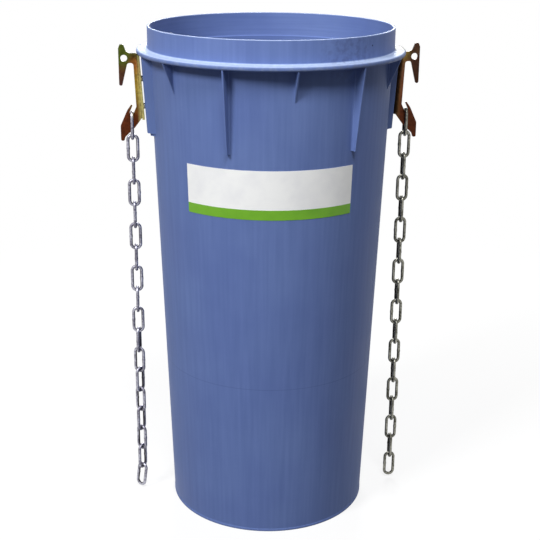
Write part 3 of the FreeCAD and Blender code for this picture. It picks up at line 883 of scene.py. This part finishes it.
def welded_link():
    """One upright link in the XZ plane about its middle."""
    bm = bmesh.new()
    ring = bmesh.ops.create_circle(
        bm,
        segments=20,
        radius=wire_radius,
        matrix=Matrix.Translation((link_half_width, 0, -crown_height)),
    )["verts"]
    edges = list({edge for vert in ring for edge in vert.link_edges})
    steps_up_leg = 16
    for rise, turn_height in ((1, crown_height), (-1, -crown_height)):
        for _ in range(steps_up_leg):
            grown = bmesh.ops.extrude_edge_only(bm, edges=edges)["geom"]
            verts = [part for part in grown if isinstance(part, bmesh.types.BMVert)]
            edges = [part for part in grown if isinstance(part, bmesh.types.BMEdge)]
            step = rise * 2 * crown_height / steps_up_leg
            bmesh.ops.translate(bm, verts=verts, vec=(0, 0, step))
        turned = bmesh.ops.spin(
            bm,
            geom=verts + edges,
            cent=(0, 0, turn_height),
            axis=(0, -1, 0),
            angle=math.pi,
            steps=14,
        )["geom_last"]
        verts = [part for part in turned if isinstance(part, bmesh.types.BMVert)]
        edges = [part for part in turned if isinstance(part, bmesh.types.BMEdge)]
    bmesh.ops.remove_doubles(bm, verts=bm.verts[:], dist=0.01 * MM)
    for vert in bm.verts:
        if vert.co.x > 0 and abs(vert.co.z) < crown_height:
            swell = 1 + weld_swell * math.exp(-((vert.co.z / weld_spread) ** 2))
            vert.co.x = link_half_width + (vert.co.x - link_half_width) * swell
            vert.co.y *= swell
    bmesh.ops.recalc_face_normals(bm, faces=bm.faces[:])
    bm.normal_update()
    # mask of the painted shade: how squarely each point faces the link's middle
    inward = bm.verts.layers.float.new("inward")
    for vert in bm.verts:
        middle = Vector((0, 0, max(-crown_height, min(crown_height, vert.co.z))))
        vert[inward] = max(0.0, vert.normal.dot((middle - vert.co).normalized()))
    mesh = bpy.data.meshes.new("welded_link")
    bm.to_mesh(mesh)
    bm.free()
    mesh.shade_smooth()
    return mesh


def link_placement(side, number):
    """Where a link hangs at rest, counted from the hook."""
    crown_to_middle = link_inner_length / 2 + wire_radius
    middle = slot_height - crown_to_middle - (link_inner_length - link_gap) * (number - 1)
    turn = 90.0 if number % 2 else 0.0
    if side == "left" and number > straight_links:
        turn -= min(twist_per_link * (number - straight_links), full_twist)
    reach = chain_reach if side == "right" else -chain_reach
    place = Matrix.Translation((reach, 0, middle)) @ Matrix.Rotation(math.radians(turn), 4, "Z")
    if side == "left" and number == links_per_chain:
        hinge = Vector((0, 0, crown_to_middle - 2 * wire_radius - link_gap))
        lean = Matrix.Rotation(math.radians(last_link_lean), 4, "Y")
        place = place @ Matrix.Translation(hinge) @ lean @ Matrix.Translation(-hinge)
    return place


# Galvanised wire: dull zinc, with painted shade that darkens the inner side of each link and
# leaves its outer side bare.
def galvanised_wire(name, dark, light, grime_and_shade):
    material, tree, output = new_material(name)
    coords = add(tree, "TexCoord").outputs["Object"]
    spangle = add(tree, "TexNoise", {"Vector": coords, "Scale": 1 / (4 * MM), "Detail": 6.0})
    patches = add(tree, "TexNoise", {"Vector": coords, "Scale": 1 / (26 * MM), "Detail": 3.0})
    mixed = add(
        tree,
        "Math",
        {0: spangle.outputs["Fac"], 1: patches.outputs["Fac"]},
        operation="MULTIPLY",
    )
    zinc = add(tree, "ValToRGB", {0: mixed.outputs[0]}, stops=[(0.16, dark), (0.34, light)])
    # painted shade: the inner side of each link is darkened towards the shade colour
    inward = add(tree, "Attribute", attribute_name="inward").outputs["Fac"]
    share = add(tree, "MapRange", {0: inward, 1: 0.05, 2: 0.7, 4: 0.92}).outputs[0]
    colour = add(
        tree, "Mix", {0: share, 6: zinc.outputs[0], 7: linear(grime_and_shade)}, data_type="RGBA"
    )
    rough = add(tree, "MapRange", {0: mixed.outputs[0], 1: 0.15, 2: 0.4, 3: 0.48, 4: 0.28})
    bump = add(
        tree, "Bump", {"Strength": 0.25, "Distance": 0.4 * MM, "Height": spangle.outputs["Fac"]}
    )
    shader = add(
        tree,
        "BsdfPrincipled",
        {
            "Base Color": colour.outputs[2],
            "Metallic": 0.9,
            "Roughness": rough.outputs[0],
            "Normal": bump.outputs[0],
        },
    )
    tree.links.new(shader.outputs[0], output.inputs[0])
    return material


link_mesh = welded_link()
for side_name, dark, light, grime_and_shade in (
    ("right", "#4A4940", "#97968C", "#14120D"),
    ("left", "#6C6976", "#BCBCC8", "#1A161E"),
):
    zinc = galvanised_wire(f"galvanised_wire_{side_name}", dark, light, grime_and_shade)
    for number in range(1, links_per_chain + 1):
        mesh = link_mesh.copy()
        # the weld changes legs from one pair of links to the next
        flip = Matrix.Rotation(math.pi * (number // 2 % 2), 4, "Z")
        mesh.transform(link_placement(side_name, number) @ flip)
        mesh.materials.append(zinc)
        link = bpy.data.objects.new(f"link_{side_name}_{number:02d}", mesh)
        bpy.context.scene.collection.objects.link(link)
        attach(link, f"{side_name}_link_{number:02d}")
        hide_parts(f"chain_{side_name}_link_{number:02d}")


# Lights, floor and backdrop
# A soft lamp on the left, a steeper one in front and a low one behind, over a pale floor.
def soft_lamp(name, place, size, power, aim=(0, 0, 0.7)):
    lamp = bpy.data.lights.new(name, "AREA")
    lamp.shape = "SQUARE"
    lamp.size = size
    lamp.energy = power
    thing = bpy.data.objects.new(name, lamp)
    thing.location = place
    thing.rotation_euler = (Vector(aim) - Vector(place)).to_track_quat("-Z", "Y").to_euler()
    bpy.context.scene.collection.objects.link(thing)


soft_lamp("side_lamp", (-3.45, -2.90, 4.50), 1.5, 262.0)
soft_lamp("front_lamp", (0.25, -3.00, 5.60), 1.6, 205.0)
soft_lamp("back_lamp", (0.50, 4.00, 2.00), 1.6, 150.0)


def seen_share(tree):
    """1 for a ray that shows the backdrop to the eye, straight, mirrored or through glass."""
    path = add(tree, "LightPath")
    rays = [path.outputs[f"Is {kind} Ray"] for kind in ("Camera", "Transmission", "Glossy")]
    direct = add(tree, "Math", {0: rays[0], 1: rays[1]}, operation="MAXIMUM")
    shown = add(tree, "Math", {0: direct.outputs[0], 1: rays[2]}, operation="MAXIMUM")
    return shown.outputs[0]


world = bpy.data.worlds.new("studio")
bpy.context.scene.world = world
world.use_nodes = True
world.node_tree.nodes.clear()
level = add(world.node_tree, "MapRange", {0: seen_share(world.node_tree), 3: 0.15, 4: 1.0})
sky = add(world.node_tree, "Background", {0: (1, 1, 1, 1), 1: level.outputs[0]})
world_output = world.node_tree.nodes.new("ShaderNodeOutputWorld")
world.node_tree.links.new(sky.outputs[0], world_output.inputs[0])

floor_half, shadow_reach = 60.0, 2.2
floor_mesh = bmesh.new()
bmesh.ops.create_grid(floor_mesh, x_segments=1, y_segments=1, size=floor_half)
floor = as_object("floor", floor_mesh)
floor_material, tree, output = new_material("pale_floor")
matt = add(tree, "BsdfDiffuse", {0: linear("#F0F0F0")})
bright = add(tree, "Emission", {0: (1, 1, 1, 1), 1: 1.0})
coords = add(tree, "TexCoord").outputs["Object"]
away = add(tree, "VectorMath", {0: coords}, operation="LENGTH").outputs["Value"]
share = add(
    tree,
    "MapRange",
    {0: away, 1: 0.3 * shadow_reach, 2: shadow_reach, 3: 0.78, 4: 1.0},
    interpolation_type="SMOOTHSTEP",
)
shown_floor = add(tree, "MixShader", {0: share.outputs[0], 1: matt.outputs[0], 2: bright.outputs[0]})
lighting_floor = add(tree, "BsdfDiffuse", {0: linear("#505050")})
mixed = add(
    tree,
    "MixShader",
    {0: seen_share(tree), 1: lighting_floor.outputs[0], 2: shown_floor.outputs[0]},
)
tree.links.new(mixed.outputs[0], output.inputs[0])
floor.data.materials.append(floor_material)
